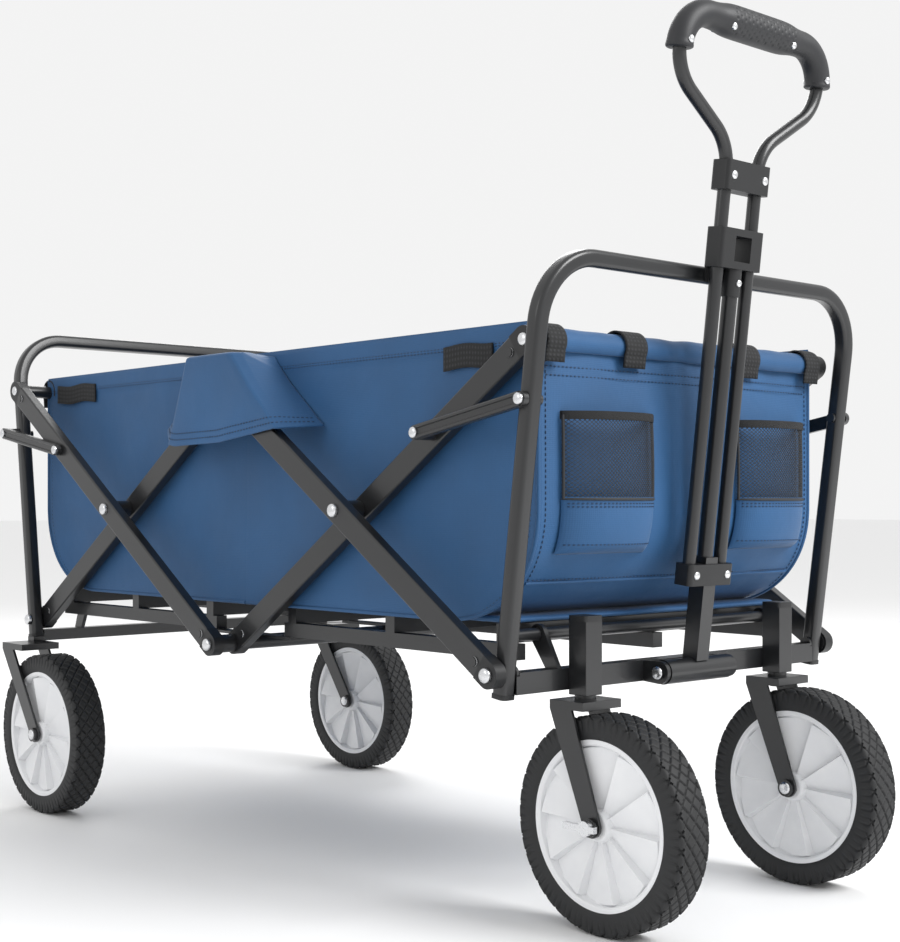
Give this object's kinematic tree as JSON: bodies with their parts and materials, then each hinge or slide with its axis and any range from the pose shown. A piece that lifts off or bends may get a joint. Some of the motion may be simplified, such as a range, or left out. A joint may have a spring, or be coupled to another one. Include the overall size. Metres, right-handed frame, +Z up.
{
  "type": "folding camp wagon",
  "caption": "Four-wheel fabric wagon on a folding double-scissor steel frame, with swivel front casters, bottle pockets and a telescoping pull handle.",
  "frame": {"origin": "ground level under the centre of the whole wagon's bounding box", "axes": "+X forward towards the pull handle, +Y to the wagon's left, +Z up"},
  "size_m": [1.0958, 0.5612, 0.8552],
  "materials": {
    "frame_steel": "satin black powder coat",
    "black_plastic": "moulded, fine texture",
    "fabric": "woven polyester, coated",
    "tyre": "moulded tread",
    "hub_plastic": "white moulded",
    "zinc": "zinc plated"
  },
  "bodies": {
    "rear_frame": {"rear_frame_hoop": "frame_steel", "rear_frame_beam": "frame_steel", "rear_fork_left": "frame_steel", "rear_fork_right": "frame_steel", "rear_axles": "zinc", "basket_side_left": "fabric", "basket_side_right": "fabric", "basket_rear": "fabric"},
    "rear_inner": {"rear_inner_bars": "frame_steel", "rear_inner_caps": "black_plastic", "rear_inner_pins": "zinc"},
    "rear_outer": {"rear_outer_bars": "frame_steel", "rear_outer_caps": "black_plastic", "rear_outer_pins": "zinc", "rear_cross_tube": "frame_steel", "centre_rest": "frame_steel"},
    "front_outer": {"front_outer_bars": "frame_steel", "front_outer_caps": "black_plastic", "front_outer_pins": "zinc"},
    "front_inner": {"front_inner_bars": "frame_steel", "front_inner_caps": "black_plastic", "front_inner_rivets": "zinc", "front_cross_tube": "frame_steel"},
    "front_frame": {"front_frame_hoop": "frame_steel", "front_frame_beam": "frame_steel", "caster_sockets": "frame_steel", "handle_clevis": "frame_steel", "handle_clip": "black_plastic", "basket_front": "fabric", "bottle_pockets": "fabric"},
    "rear_links": {"rear_brace_links": "frame_steel"},
    "front_links": {"front_brace_links": "frame_steel"},
    "floor_rear": {"floor_rear_frame": "frame_steel", "floor_rear_board": "fabric"},
    "floor_front": {"floor_front_frame": "frame_steel", "floor_front_board": "fabric"},
    "handle_arm": {"handle_barrel": "black_plastic", "handle_lower_tube": "frame_steel", "handle_mid_tube": "frame_steel", "handle_guide": "black_plastic"},
    "handle_slide": {"handle_loop": "frame_steel", "handle_lower_clamp": "black_plastic", "handle_top_clamp": "black_plastic", "handle_grip": "black_plastic"},
    "rear_wheel_left": {"rear_tyre_left": "tyre", "rear_hub_left": "hub_plastic"},
    "caster_left": {"caster_fork_left": "frame_steel", "caster_stem_left": "frame_steel", "caster_axle_left": "zinc"},
    "front_wheel_left": {"front_tyre_left": "tyre", "front_hub_left": "hub_plastic"},
    "brake_left": {"brake_lever_left": "zinc"},
    "rear_wheel_right": {"rear_tyre_right": "tyre", "rear_hub_right": "hub_plastic"},
    "caster_right": {"caster_fork_right": "frame_steel", "caster_stem_right": "frame_steel", "caster_axle_right": "zinc"},
    "front_wheel_right": {"front_tyre_right": "tyre", "front_hub_right": "hub_plastic"},
    "brake_right": {"brake_lever_right": "zinc"}
  },
  "joints": [
    {"name": "fold", "type": "hinge", "parent": "rear_frame", "child": "rear_inner", "pos_m": [-0.4898, 0, 0.23912], "axis": [0, -1, 0], "range_deg": [0, 49.73], "deforming": ["basket_side_left", "basket_side_right"]},
    {"name": "rear_crossing", "type": "hinge", "parent": "rear_inner", "child": "rear_outer", "pos_m": [-0.26941, 0, 0.385], "axis": [0, 1, 0], "range_deg": [0, 85.01]},
    {"name": "centre_top", "type": "hinge", "parent": "rear_inner", "child": "front_outer", "pos_m": [-0.04543, 0, 0.53325], "axis": [0, 1, 0], "range_deg": [0, 85.01]},
    {"name": "front_crossing", "type": "hinge", "parent": "front_outer", "child": "front_inner", "pos_m": [0.17855, 0, 0.385], "axis": [0, -1, 0], "range_deg": [0, 85.01]},
    {"name": "front_end", "type": "hinge", "parent": "front_outer", "child": "front_frame", "pos_m": [0.39895, 0, 0.23912], "axis": [0, -1, 0], "range_deg": [0, 49.74]},
    {"name": "rear_link", "type": "hinge", "parent": "rear_frame", "child": "rear_links", "pos_m": [-0.52206, 0, 0.48412], "axis": [0, -1, 0], "range_deg": [0, 94.17]},
    {"name": "front_link", "type": "hinge", "parent": "front_frame", "child": "front_links", "pos_m": [0.43121, 0, 0.48412], "axis": [0, 1, 0], "range_deg": [0, 94.17]},
    {"name": "floor_rear_hinge", "type": "hinge", "parent": "rear_frame", "child": "floor_rear", "pos_m": [-0.4694, 0, 0.27], "axis": [0, -1, 0], "range_deg": [0, 94.01]},
    {"name": "floor_front_hinge", "type": "hinge", "parent": "front_frame", "child": "floor_front", "pos_m": [0.37855, 0, 0.27], "axis": [0, 1, 0], "range_deg": [0, 94.01]},
    {"name": "rear_wheel_left_spin", "type": "hinge", "parent": "rear_frame", "child": "rear_wheel_left", "pos_m": [-0.41083, 0.2506, 0.1], "axis": [0, 1, 0], "continuous": true},
    {"name": "caster_left_swivel", "type": "hinge", "parent": "front_frame", "child": "caster_left", "pos_m": [0.41668, 0.1475, 0.211], "axis": [0, 0, 1], "continuous": true},
    {"name": "front_wheel_left_spin", "type": "hinge", "parent": "caster_left", "child": "front_wheel_left", "pos_m": [0.44787, 0.1475, 0.1], "axis": [0, 1, 0], "continuous": true},
    {"name": "brake_left_lever", "type": "hinge", "parent": "caster_left", "child": "brake_left", "pos_m": [0.44787, 0.1805, 0.1], "axis": [0, 1, 0], "range_deg": [0, 25]},
    {"name": "rear_wheel_right_spin", "type": "hinge", "parent": "rear_frame", "child": "rear_wheel_right", "pos_m": [-0.41083, -0.2506, 0.1], "axis": [0, 1, 0], "continuous": true},
    {"name": "caster_right_swivel", "type": "hinge", "parent": "front_frame", "child": "caster_right", "pos_m": [0.41668, -0.1475, 0.211], "axis": [0, 0, 1], "continuous": true},
    {"name": "front_wheel_right_spin", "type": "hinge", "parent": "caster_right", "child": "front_wheel_right", "pos_m": [0.44787, -0.1475, 0.1], "axis": [0, 1, 0], "continuous": true},
    {"name": "brake_right_lever", "type": "hinge", "parent": "caster_right", "child": "brake_right", "pos_m": [0.44787, -0.1805, 0.1], "axis": [0, 1, 0], "range_deg": [0, 25]},
    {"name": "handle_swing", "type": "hinge", "parent": "front_frame", "child": "handle_arm", "pos_m": [0.42557, 0, 0.229], "axis": [0, 1, 0], "range_deg": [0, 95]},
    {"name": "handle_extend", "type": "slide", "parent": "handle_arm", "child": "handle_slide", "axis": [0.1184, 0, 0.993], "range_m": [0, 0.258]}
  ],
  "couplings": [
    {"joint": "rear_crossing", "follows": "fold", "ratio": 1.7092},
    {"joint": "centre_top", "follows": "fold", "ratio": 1.7092},
    {"joint": "front_crossing", "follows": "fold", "ratio": 1.7092},
    {"joint": "front_end", "follows": "fold", "ratio": 1},
    {"joint": "rear_link", "follows": "fold", "ratio": 1.8933},
    {"joint": "front_link", "follows": "fold", "ratio": 1.8933},
    {"joint": "floor_rear_hinge", "follows": "fold", "ratio": 1.8902},
    {"joint": "floor_front_hinge", "follows": "fold", "ratio": 1.8902}
  ]
}
